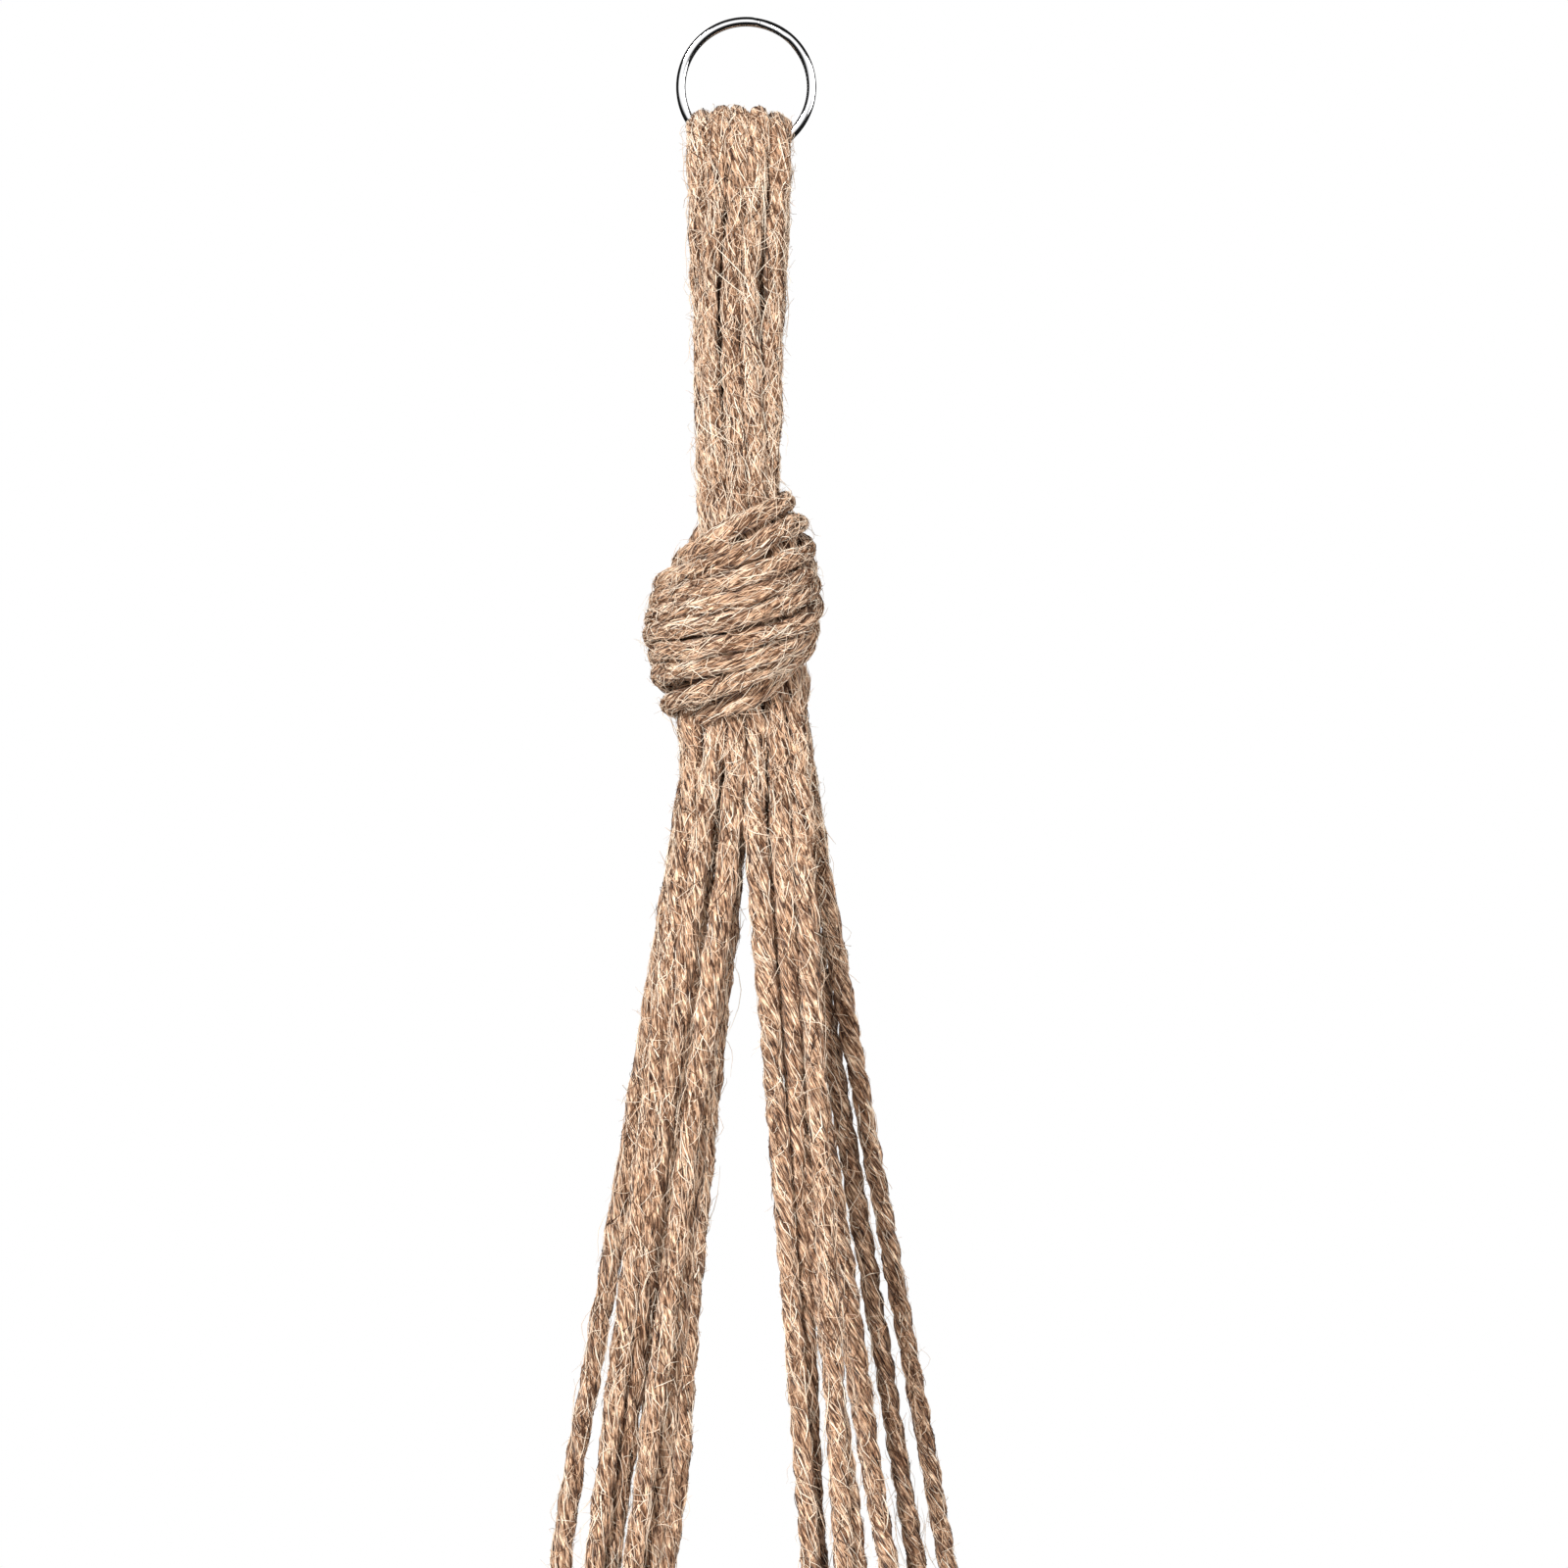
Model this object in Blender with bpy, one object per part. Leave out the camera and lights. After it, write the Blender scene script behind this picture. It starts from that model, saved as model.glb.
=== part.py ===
"""Hanging macrame planter: a split ring, eight folded jute cords and the knots they are tied in.

Every cord is folded over the ring, so sixteen strands run down. They pass one large overhand
knot, part into four legs of four strands, meet a leg knot each, cross over in pairs to four net
knots, run in under the pot to a gather knot, and end in a tassel.

Metres, +Z up. The origin is the inner top of the ring, where a hook carries it. -Y is the front.
"""

import math

import bmesh
import bpy
from mathutils import Matrix, Vector

MM = 0.001
COLLECTION = "hanging_macrame_planter"

# Cord
CORD_D = 3.8 * MM
CORD_PITCH = 4.1 * MM  # centre to centre of two cords that lie side by side
PAIR_D = 5.4 * MM  # a round tube with the section of two cords
BUNDLE_D = 7.6 * MM  # the same for four cords
GAP = 0.3 * MM  # between a cord's end and the knot it runs into
POINT_STEP = 11 * MM
LEG_POINT_STEP = 28 * MM

# Split ring
RING_OUTER_D = 30 * MM
WIRE_RADIAL = 2.0 * MM
WIRE_AXIAL = 1.2 * MM
TURN_GAP = 0.12 * MM
RING_STEP_ANGLE = math.radians(63)  # where the wire steps from one turn to the other
RING_STEP_HALF = math.radians(15)
RING_POINTS = 84
RING_CENTRE_Z = -(RING_OUTER_D / 2 - WIRE_RADIAL)

# Swing axis of the ring in the cord folds, along X
SWING_Z = -26.6 * MM

# Cord folds
FOLD_X = -0.6 * MM  # middle of the folds
FOLD_INNER_R = 5.05 * MM  # centre line of the three folds next to the wire
FOLD_OUTER_R = 9.15 * MM  # centre line of the five folds over them
BAND_UPPER_Z = -44 * MM  # here the band is still almost as deep as its folds
BAND_LOWER_Z = -72 * MM  # and here almost as thin as at the knot
BAND_END_RUN = 9 * MM  # the cords run side by side this far above the knot

# Top knot
NECK_X = -1.7 * MM  # middle of the band where it enters the knot, and the twist axis
KNOT_TOP_Z = -104 * MM
KNOT_H = 44 * MM
KNOT_BOTTOM_Z = KNOT_TOP_Z - KNOT_H

# Legs: azimuth of each, seen from above, with -Y at the front
LEG_AZIMUTH = {"front_right": -65, "back_right": 30, "back_left": 134, "front_left": -130}
LEG_MID_Z = -330 * MM
LEG_KNOT_R = 78 * MM
LEG_KNOT_TOP_Z = -505 * MM
SMALL_KNOT_H = 20 * MM
LEG_START_RUN = 5 * MM  # straight down from the top knot
LEG_END_RUN = 6 * MM  # and straight down into the leg knot
NET_KNOT_R = 66 * MM
NET_KNOT_TOP_Z = -592 * MM
NET_END_RUN = 4 * MM
NET_SAG_IN = 1 * MM  # how far the middle of a net pair lies inside the knots at its ends

# Gather knot and tassel
GATHER_TOP_Z = -684 * MM
GATHER_COLLAR_R = 15 * MM
GATHER_BALL_R = 17 * MM
GATHER_BALL_Z = -706 * MM  # the tassel swings about this height
TASSEL_TOP_Z = GATHER_BALL_Z - GATHER_BALL_R - 0.5 * MM
TASSEL_LENGTH = 150 * MM
TASSEL_STAGGER = 6 * MM  # between the three lengths that the ends are cut to
TASSEL_CIRCLE_R = 7 * MM
TASSEL_SPREAD = 0.7  # how far an end drifts outwards, as a share of its place on the circle

JUTE = ((0.47, 0.31, 0.18, 1), 0.9, 0.0)
STEEL = ((0.72, 0.72, 0.74, 1), 0.15, 1.0)

# For each leg's strands: its place in the bundle under the top knot and at LEG_MID_Z, both in mm,
# and the side of the leg knot that it enters, along the leg's turn and outwards
LEG_STRANDS = {
    "front_right": (
        ((2.1, -4.2), (14.4, -37.0), (-1, -1)),
        ((6.3, -4.2), (20.2, -38.0), (-1, 1)),
        ((10.4, -2.6), (24.6, -35.0), (1, 1)),
        ((2.1, 0.0), (17.4, -31.5), (1, -1)),
    ),
    "back_right": (
        ((6.3, 0.0), (30.5, 17.5), (-1, -1)),
        ((6.3, 4.2), (36.4, 25.0), (1, 1)),
        ((10.4, 2.6), (43.0, 21.0), (-1, 1)),
        ((2.1, 4.2), (30.5, 28.0), (1, -1)),
    ),
    "back_left": (
        ((-6.3, 0.0), (-31.0, 27.0), (1, -1)),
        ((-6.3, 4.2), (-24.0, 33.0), (-1, 1)),
        ((-10.4, 2.6), (-39.0, 27.0), (1, 1)),
        ((-2.1, 4.2), (-17.4, 31.0), (-1, -1)),
    ),
    "front_left": (
        ((-2.1, 0.0), (-20.6, -32.0), (1, -1)),
        ((-2.1, -4.2), (-24.4, -37.0), (1, 1)),
        ((-6.3, -4.2), (-28.9, -30.5), (-1, -1)),
        ((-10.4, -2.6), (-33.2, -34.0), (-1, 1)),
    ),
}


def clear_scene():
    for obj in list(bpy.data.objects):
        bpy.data.objects.remove(obj, do_unlink=True)


def make_collection():
    collection = bpy.data.collections.new(COLLECTION)
    bpy.context.scene.collection.children.link(collection)
    return collection


def make_material(name, look):
    colour, roughness, metallic = look
    material = bpy.data.materials.new(name)
    material.use_nodes = True
    shader = material.node_tree.nodes["Principled BSDF"]
    shader.inputs["Base Color"].default_value = colour
    shader.inputs["Roughness"].default_value = roughness
    shader.inputs["Metallic"].default_value = metallic
    return material


def polar(radius, degrees, z):
    angle = math.radians(degrees)
    return Vector((radius * math.cos(angle), radius * math.sin(angle), z))


def catmull_rom(a, b, c, d, t):
    """A point between b and c on a smooth curve through all four."""
    return 0.5 * (
        2 * b + (c - a) * t + (2 * a - 5 * b + 4 * c - d) * t**2 + (3 * b - a - 3 * c + d) * t**3
    )


def smooth(route, step):
    """Points about a step apart on a smooth curve through the route's own points."""
    padded = [2 * route[0] - route[1], *route, 2 * route[-1] - route[-2]]
    points = [route[0]]
    for i in range(len(route) - 1):
        span = (route[i + 1] - route[i]).length
        count = max(1, round(span / step))
        for k in range(1, count + 1):
            points.append(catmull_rom(*padded[i : i + 4], k / count))
    return points


def add_object(name, data, material, origin, collection, body):
    """Links an object whose data is in world coordinates, with its own origin and its body's empty."""
    obj = bpy.data.objects.new(name, data)
    data.transform(Matrix.Translation(-origin))
    data.materials.append(material)
    collection.objects.link(obj)
    obj.parent = body
    obj.location = origin - body.location
    return obj


def add_tube(name, points, diameter, owner, origin=None):
    """A round tube along points, closed with flat caps. owner is (material, collection, body)."""
    curve = bpy.data.curves.new(name, "CURVE")
    curve.dimensions = "3D"
    curve.bevel_depth = diameter / 2
    curve.bevel_resolution = 2
    curve.use_fill_caps = True
    spline = curve.splines.new("POLY")
    spline.points.add(len(points) - 1)
    for point, place in zip(spline.points, points):
        point.co = (*place, 1)
    spline.use_smooth = True
    material, collection, body = owner
    return add_object(name, curve, material, origin or points[0].copy(), collection, body)


def edges_within(verts):
    """The edges that join two of these vertices."""
    inside = set(verts)
    return list({edge for vert in verts for edge in vert.link_edges if set(edge.verts) <= inside})


def add_loft(name, centre, sections, sides, owner):
    """A closed turned form. Each section is (z, radius along X, radius along Y, shift along X)."""
    form = bmesh.new()
    rings = []
    for z, along_x, along_y, shift in sections:
        ring = bmesh.ops.create_circle(form, cap_ends=False, segments=sides, radius=1)["verts"]
        scale = Matrix.Diagonal((along_x, along_y, 1, 1))
        move = Matrix.Translation(Vector((centre.x + shift, centre.y, z)))
        bmesh.ops.transform(form, matrix=move @ scale, verts=ring)
        rings.append(ring)
    for upper, lower in zip(rings, rings[1:]):
        bmesh.ops.bridge_loops(form, edges=edges_within(upper) + edges_within(lower))
    for ring in (rings[0], rings[-1]):
        form.faces.new(ring)
    bmesh.ops.recalc_face_normals(form, faces=form.faces)
    mesh = bpy.data.meshes.new(name)
    form.to_mesh(mesh)
    form.free()
    mesh.shade_smooth()
    mesh.set_sharp_from_angle(angle=math.radians(50))
    material, collection, body = owner
    return add_object(name, mesh, material, centre.copy(), collection, body)


def make_body(name, origin, collection):
    """The empty on a body's joint axis."""
    body = bpy.data.objects.new(name, None)
    body.empty_display_size = 10 * MM
    collection.objects.link(body)
    body.location = origin
    return body


def wire_offset(turned):
    """How far along Y the wire is after turning this far: flat, then a step, then flat."""
    start = 2 * math.pi - 2 * RING_STEP_HALF
    rise = min(max((turned - start) / (2 * RING_STEP_HALF), 0), 1)
    eased = rise * rise * (3 - 2 * rise)
    return (WIRE_AXIAL + TURN_GAP) * (eased - 0.5)


def make_ring(owner):
    """Two flat turns of wire, side by side, that cross from one to the other in a short step."""
    radius = (RING_OUTER_D - WIRE_RADIAL) / 2
    squash = WIRE_AXIAL / WIRE_RADIAL
    turned_in_all = 4 * math.pi - 2 * RING_STEP_HALF
    points = []
    for i in range(RING_POINTS):
        turned = turned_in_all * i / (RING_POINTS - 1)
        angle = RING_STEP_ANGLE + RING_STEP_HALF + turned
        y = wire_offset(turned) / squash
        points.append(Vector((radius * math.cos(angle), y, radius * math.sin(angle))))
    ring = add_tube("split_ring", points, WIRE_RADIAL, owner, origin=Vector((0, 0, 0)))
    ring.location.z = RING_CENTRE_Z
    ring.scale.y = squash


def fold_route(x_top, radius, x_end, y_end):
    """One cord: up the front, over the ring's wire in a half circle, and down the back."""
    end_z = KNOT_TOP_Z + GAP
    front = [
        Vector((x_end, -y_end, end_z)),
        Vector((x_end, -y_end, end_z + BAND_END_RUN)),
        Vector(((x_end * 2 + x_top) / 3, -y_end - (radius - y_end) * 0.25, BAND_LOWER_Z)),
        Vector((x_top, -y_end - (radius - y_end) * 0.8, BAND_UPPER_Z)),
    ]
    arch = [
        Vector((x_top, -radius * math.cos(a), SWING_Z + radius * math.sin(a)))
        for a in (math.radians(22.5 * i) for i in range(9))
    ]
    back = [Vector((p.x, -p.y, p.z)) for p in reversed(front)]
    return front + arch + back


def make_cords(owner):
    """The band: five folds over the outside, three next to the wire."""
    number = 1
    for column in (-2, -1, 0, 1, 2):
        x_top = FOLD_X + column * CORD_PITCH
        x_end = NECK_X + column * CORD_PITCH
        layers = [(FOLD_OUTER_R, 1.5 if abs(column) < 2 else 0.5)]
        if abs(column) < 2:
            layers.append((FOLD_INNER_R, 0.5))
        for radius, rows in layers:
            route = fold_route(x_top, radius, x_end, rows * CORD_PITCH)
            add_tube(f"cord_{number}_fold", smooth(route, POINT_STEP), CORD_D, owner)
            number += 1


def make_top_knot(owner):
    """All sixteen strands' overhand knot, wider at its lower left, as each strand climbs round it."""
    centre = Vector((NECK_X, 0, KNOT_TOP_Z))
    shape = (
        (0.0, 10.8, 10.6, 0.0),
        (0.06, 14.0, 12.6, -0.2),
        (0.18, 16.8, 14.6, -0.6),
        (0.34, 18.4, 15.8, -1.6),
        (0.52, 18.9, 16.2, -2.2),
        (0.70, 17.8, 15.4, -1.8),
        (0.86, 15.4, 12.8, -0.2),
        (1.0, 13.0, 8.0, 2.0),
    )
    sections = [
        (KNOT_TOP_Z - share * KNOT_H, along_x * MM, along_y * MM, shift * MM)
        for share, along_x, along_y, shift in shape
    ]
    add_loft("top_knot", centre, sections, 20, owner)


def make_small_knot(name, top, owner):
    """An overhand knot of four strands, flat where the strands enter and leave."""
    shape = ((0, 6.4), (0.12, 8.2), (0.35, 9.4), (0.65, 9.4), (0.88, 8.2), (1, 6.4))
    sections = [(top.z - share * SMALL_KNOT_H, r * MM, r * MM, 0) for share, r in shape]
    add_loft(name, top, sections, 14, owner)


def knot_entry(top, azimuth, side):
    """Where a strand enters a small knot, on the given side of its axis."""
    along = polar(side[0] * CORD_PITCH / 2, azimuth + 90, 0)
    out = polar(side[1] * CORD_PITCH / 2, azimuth, 0)
    return top + along + out


def make_legs(owner):
    """Four legs of four strands, each strand taut from the top knot to its leg knot."""
    start_z = KNOT_BOTTOM_Z - GAP
    for leg, azimuth in LEG_AZIMUTH.items():
        top = polar(LEG_KNOT_R, azimuth, LEG_KNOT_TOP_Z)
        for number, (start, mid, side) in enumerate(LEG_STRANDS[leg], 1):
            end = knot_entry(top, azimuth, side) + Vector((0, 0, GAP))
            route = [
                Vector((start[0] * MM, start[1] * MM, start_z)),
                Vector((start[0] * MM, start[1] * MM, start_z - LEG_START_RUN)),
                Vector((mid[0] * MM, mid[1] * MM, LEG_MID_Z)),
                end + Vector((0, 0, LEG_END_RUN)),
                end,
            ]
            points = smooth(route, LEG_POINT_STEP)
            add_tube(f"leg_{leg}_strand_{number}", points, CORD_D, owner)
        make_small_knot(f"leg_{leg}_knot", top, owner)


def make_net(owner):
    """Each leg's strands part in two pairs, and pairs of neighbouring legs meet in a net knot."""
    legs = list(LEG_AZIMUTH.items())
    for i, (leg, azimuth) in enumerate(legs):
        following, next_azimuth = legs[(i + 1) % len(legs)]
        span = (next_azimuth - azimuth) % 360
        middle = azimuth + span / 2
        net_top = polar(NET_KNOT_R, middle, NET_KNOT_TOP_Z)
        name = f"net_{leg}_to_{following}"
        make_small_knot(f"{name}_knot", net_top, owner)
        make_net_pair(f"{name}_pair_1", azimuth, middle, 1, owner)
        make_net_pair(f"{name}_pair_2", next_azimuth, middle, -1, owner)
        make_cradle_bundle(f"cradle_bundle_{i + 1}", middle, owner)


def make_net_pair(name, leg_azimuth, net_azimuth, side, owner):
    """Two strands, from under a leg knot to the top of the net knot on the given side of it."""
    offset = PAIR_D / 2 + GAP / 2
    leg_bottom = polar(LEG_KNOT_R, leg_azimuth, LEG_KNOT_TOP_Z - SMALL_KNOT_H - GAP)
    net_top = polar(NET_KNOT_R, net_azimuth, NET_KNOT_TOP_Z + GAP)
    start = leg_bottom + polar(offset, leg_azimuth + 90 * side, 0)
    end = net_top + polar(offset, net_azimuth - 90 * side, 0)
    turn = (net_azimuth - leg_azimuth + 180) % 360 - 180
    middle_radius = (LEG_KNOT_R + NET_KNOT_R) / 2 - NET_SAG_IN
    middle = polar(middle_radius, leg_azimuth + turn / 2, (start.z + end.z) / 2)
    down = Vector((0, 0, -NET_END_RUN))
    route = [start, start + down, middle, end - down, end]
    add_tube(name, smooth(route, POINT_STEP), PAIR_D, owner)


def make_cradle_bundle(name, azimuth, owner):
    """Four strands, from under a net knot, in under the pot, to the side of the gather knot."""
    top_z = NET_KNOT_TOP_Z - SMALL_KNOT_H - GAP
    shape = ((0, 0), (0, 5), (5, 28), (13, 52), (22, 68), (35, 77), (46, 79))  # (inwards, down)
    route = [polar(NET_KNOT_R - inwards * MM, azimuth, top_z - down * MM) for inwards, down in shape]
    route.append(polar(GATHER_COLLAR_R + GAP, azimuth, route[-1].z))
    add_tube(name, smooth(route, POINT_STEP), BUNDLE_D, owner)


def make_gather_knot(owner):
    """A collar that the cradle runs into, over a ball centred on the tassel's swing axis."""
    collar = ((0, -4.0), (1.5, -1.0), (3.5, 0), (12.5, 0), (16.0, 0.9))  # (down, outwards)
    sections = []
    for down, outwards in collar:
        radius = GATHER_COLLAR_R + outwards * MM
        sections.append((GATHER_TOP_Z - down * MM, radius, radius, 0))
    for degrees in (0, 18, 36, 52, 66, 78):
        drop = GATHER_BALL_R * math.sin(math.radians(degrees))
        radius = GATHER_BALL_R * math.cos(math.radians(degrees))
        sections.append((GATHER_BALL_Z - drop, radius, radius, 0))
    add_loft("gather_knot", Vector((0, 0, GATHER_BALL_Z)), sections, 20, owner)


def make_tassel(owner):
    """Each cord's two ends hang side by side: one pair in the middle, seven round it."""
    places = [(0.0, 0.0)] + [(TASSEL_CIRCLE_R, 360 / 7 * i) for i in range(7)]
    for number, (radius, azimuth) in enumerate(places, 1):
        top = polar(radius, azimuth, TASSEL_TOP_Z)
        drift = polar(radius * TASSEL_SPREAD, azimuth, 0)
        length = TASSEL_LENGTH - TASSEL_STAGGER * (number % 3)
        route = [top]
        for share, drifted in ((0.05, 0), (0.5, 0.7), (1, 1)):
            route.append(top + drift * drifted + Vector((0, 0, -length * share)))
        add_tube(f"cord_{number}_ends", smooth(route, 2 * POINT_STEP), PAIR_D, owner)


def main():
    clear_scene()
    collection = make_collection()
    jute = make_material("jute", JUTE)
    steel = make_material("steel", STEEL)
    ring = make_body("ring_body", Vector((0, 0, 0)), collection)
    band = make_body("band_body", Vector((0, 0, SWING_Z)), collection)
    hanger = make_body("hanger_body", Vector((NECK_X, 0, KNOT_TOP_Z)), collection)
    tassel = make_body("tassel_body", Vector((0, 0, GATHER_BALL_Z)), collection)
    make_ring((steel, collection, ring))
    make_cords((jute, collection, band))
    make_top_knot((jute, collection, hanger))
    make_legs((jute, collection, hanger))
    make_net((jute, collection, hanger))
    make_gather_knot((jute, collection, hanger))
    make_tassel((jute, collection, tassel))


main()
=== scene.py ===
"""The looks of a hanging macrame planter: laid jute cord, its knots and stray fibres, a chrome ring.

Eight cords are folded over the ring. Each has two strands, front and back, so sixteen strands run
down from the fold to the tassel. A strand's centre line is worked out from end to end, the knots
are pulled together until strands only touch, and each strand is then meshed as three laid plies.

Lengths are in millimetres up to the point where a mesh is made. +Z is up and -Y is the front.
"""

import math

import bpy
import numpy as np
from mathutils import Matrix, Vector
from mathutils.kdtree import KDTree


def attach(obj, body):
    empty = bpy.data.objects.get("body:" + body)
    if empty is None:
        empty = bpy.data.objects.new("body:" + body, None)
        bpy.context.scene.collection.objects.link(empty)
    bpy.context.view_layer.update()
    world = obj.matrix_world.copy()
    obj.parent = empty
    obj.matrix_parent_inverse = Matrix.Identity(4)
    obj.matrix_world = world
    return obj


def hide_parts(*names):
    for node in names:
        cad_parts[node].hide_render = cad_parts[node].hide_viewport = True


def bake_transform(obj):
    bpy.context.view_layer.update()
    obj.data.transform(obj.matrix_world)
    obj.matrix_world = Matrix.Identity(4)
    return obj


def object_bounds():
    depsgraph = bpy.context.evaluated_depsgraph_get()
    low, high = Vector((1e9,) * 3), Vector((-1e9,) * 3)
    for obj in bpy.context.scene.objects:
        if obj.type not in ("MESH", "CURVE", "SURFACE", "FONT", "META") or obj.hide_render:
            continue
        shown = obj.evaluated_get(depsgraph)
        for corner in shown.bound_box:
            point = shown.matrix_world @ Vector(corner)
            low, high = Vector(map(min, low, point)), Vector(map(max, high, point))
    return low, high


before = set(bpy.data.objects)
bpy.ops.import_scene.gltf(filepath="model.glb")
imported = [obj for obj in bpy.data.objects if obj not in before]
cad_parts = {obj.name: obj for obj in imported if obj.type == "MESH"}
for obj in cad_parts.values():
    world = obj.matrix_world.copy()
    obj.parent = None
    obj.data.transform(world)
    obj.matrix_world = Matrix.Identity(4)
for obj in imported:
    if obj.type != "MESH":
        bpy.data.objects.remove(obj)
CAD_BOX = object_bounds()

MM = 0.001
random = np.random.default_rng(11)

# Camera: straight on, far away, on the upper part of the hanger
VIEW_CENTRE = (0.0081, 0.0, -0.1622)
VIEW_WIDTH = 0.3357
VIEW_DISTANCE = 3.0
SENSOR = 36.0

# Cord: three plies laid in S
CORD_R = 2.1
PLY_R = 1.22
PLY_OFFSET = 0.88
LAY = 15.5
SKEW = 0.25  # a ply's fibres lie flatter to the cord than the ply does, by this share
SWELL = ((-230, 0), (-200, 0.1), (-152, 0.1), (-146, 0), (-42, 0), (-28, 0.3))  # (height, thicker)
SIDES = 24
RING_STEP = 1.0

# How much a cord varies along its length: (share of the value, wavelength)
LAY_VARIES = (0.06, 70.0)
THICKNESS_VARIES = (0.05, 25.0)
PLIES_VARY = (0.1, 12.0)
RIDGES = (0.09, 5.0)  # bunches of fibres, which stand out this many millimetres

# Where a cord has fluffed up, its lay is longer, it is thicker, its plies vary more, its bunches
# stand out more and its section is rounder
FLUFFED_LAY = 1.4
FLUFFED_THICKNESS = 0.08
FLUFFED_PLIES = 0.1
FLUFFED_RIDGES = 1.6
FLUFFED_ROUNDING = 0.14

# Split ring, as in the frame
RING_OUTER_D = 30.0
WIRE_RADIAL = 2.0
WIRE_AXIAL = 1.2
TURN_GAP = 0.12
RING_STEP_ANGLE = math.radians(63)
RING_STEP_HALF = math.radians(15)
RING_CENTRE_Z = -(RING_OUTER_D / 2 - WIRE_RADIAL)

# Heights and radii that the frame sets
SWING_Z = -26.6
NECK_X = -1.7
KNOT_TOP_Z = -104.0
KNOT_BOTTOM_Z = -148.0
LEG_AZIMUTH = {"front_right": -65, "back_right": 30, "back_left": 134, "front_left": -130}
LEG_MID_Z = -330.0
PARTING = 22.0  # the two sides stay together this far under the top knot
LEG_KNOT_R = 78.0
LEG_KNOT_TOP_Z = -505.0
SMALL_KNOT_H = 20.0
NET_KNOT_R = 66.0
NET_KNOT_TOP_Z = -592.0
GATHER_TOP_Z = -688.0
GATHER_BOTTOM_Z = -722.0
TASSEL_LENGTH = 150.0
TASSEL_STAGGER = 6.0
FRAY = 4  # a cut end frays over this many rings

# The cradle under the pot, from a net knot down: (inwards, down)
CRADLE = ((0, 0), (0, 5), (5, 28), (13, 52), (22, 67), (35, 76), (47, 79))

# A leg strand's place under the top knot and half way down, and its side of the leg knot, along
# the leg's turn and outwards
LEG_STRANDS = {
    "front_right": (
        ((2.1, -4.2), (14.4, -37.0), (-1, -1)),
        ((10.4, -2.6), (20.7, -38.0), (-1, 1)),
        ((2.1, 0.0), (23.6, -34.5), (1, 1)),
        ((6.3, -4.2), (15.6, -32.0), (1, -1)),
    ),
    "back_right": (
        ((6.3, 0.0), (30.5, 17.5), (-1, -1)),
        ((6.3, 4.2), (36.4, 25.0), (1, 1)),
        ((10.4, 2.6), (43.0, 21.0), (-1, 1)),
        ((2.1, 4.2), (30.5, 28.0), (1, -1)),
    ),
    "back_left": (
        ((-6.3, 0.0), (-31.0, 27.0), (1, -1)),
        ((-6.3, 4.2), (-24.0, 33.0), (-1, 1)),
        ((-9.9, 2.6), (-39.8, 27.0), (1, 1)),
        ((-2.1, 4.2), (-17.4, 31.0), (-1, -1)),
    ),
    "front_left": (
        ((-2.1, 0.0), (-20.6, -32.0), (1, -1)),
        ((-2.1, -4.2), (-24.4, -37.0), (1, 1)),
        ((-6.3, -4.2), (-28.9, -30.5), (-1, -1)),
        ((-9.6, -2.0), (-32.4, -34.0), (-1, 1)),
    ),
}

# A cord in the band: its place across, its half depth and its rise at the fold, then its front
# strand's place across and forward half way down and at the neck. Five cords lie over the outside
# and three next to the wire.
BAND_CORDS = (
    ((-9.8, 6.0, 6.2), (-9.2, 3.2), (-8.1, 2.0)),
    ((-5.6, 8.0, 6.9), (-8.1, 6.8), (-5.2, 5.4)),
    ((-5.2, 4.0, 3.4), (-5.2, 2.6), (-3.9, 1.9)),
    ((-1.6, 8.2, 7.1), (-2.9, 7.4), (-1.6, 6.2)),
    ((-1.0, 4.0, 3.2), (-1.1, 3.2), (0.1, 2.0)),
    ((2.4, 8.0, 6.8), (0.7, 7.4), (2.0, 5.6)),
    ((3.2, 4.0, 3.4), (2.6, 2.9), (3.6, 2.0)),
    ((6.8, 6.0, 5.3), (6.1, 5.0), (4.9, 3.2)),
)
FLUFFED = {
    "band": 1.0, "top_knot": 0.9, "leg_front_left": 0.85, "leg_back_left": 0.7,
    "leg_front_right": 0.3, "leg_back_right": 0.25,
}
FLUFFED_ELSEWHERE = 0.2
FLUFFED_BELOW_KNOT = ((-215, 0), (-160, 0.85))  # (height, at least this much)
FLUFF_EASING = 20  # rings over which it eases from stretch to stretch, each way

# An overhand knot, by how far round it a strand has come, in degrees: it comes down the core,
# leaves it low on the right, and climbs round the back (0), the left (90), the front (180) and
# the right (270) to go down the core again. Each row is (turned, radius, height of the middle of
# the strands, height of all of them), as shares of the knot's radius and height
SMALL_KNOT_SHAPE = (
    (-75, 0.45, -0.78, 0.25),
    (-35, 0.85, -0.78, 0.38),
    (10, 1.0, -0.72, 0.52),
    (90, 1.0, -0.58, 0.62),
    (180, 1.0, -0.50, 0.64),
    (270, 1.0, -0.42, 0.62),
    (320, 1.0, -0.33, 0.5),
    (350, 0.8, -0.28, 0.36),
)
TOP_KNOT_SHAPE = (
    (-75, 0.35, -0.78, 0.26),
    (-35, 0.66, -0.79, 0.36),
    (10, 0.80, -0.76, 0.5),
    (50, 0.92, -0.68, 0.62),
    (90, 1.0, -0.59, 0.74),
    (135, 0.92, -0.585, 0.77),
    (180, 0.80, -0.53, 0.78),
    (225, 0.74, -0.435, 0.77),
    (270, 0.70, -0.355, 0.71),
    (315, 0.72, -0.275, 0.55),
    (345, 0.7, -0.22, 0.42),
)
TOP_KNOT_R = 18.9
SMALL_KNOT_R = 8.2
GATHER_KNOT_R = 15.6
BARREL_NARROWING = (0.42, 0.55)  # of the knot's radius at its top and bottom rows
BARREL_ROUNDNESS = 2.2
LAYER_DEPTH = 3.6
WRAP_WANDER = 0.9
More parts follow.
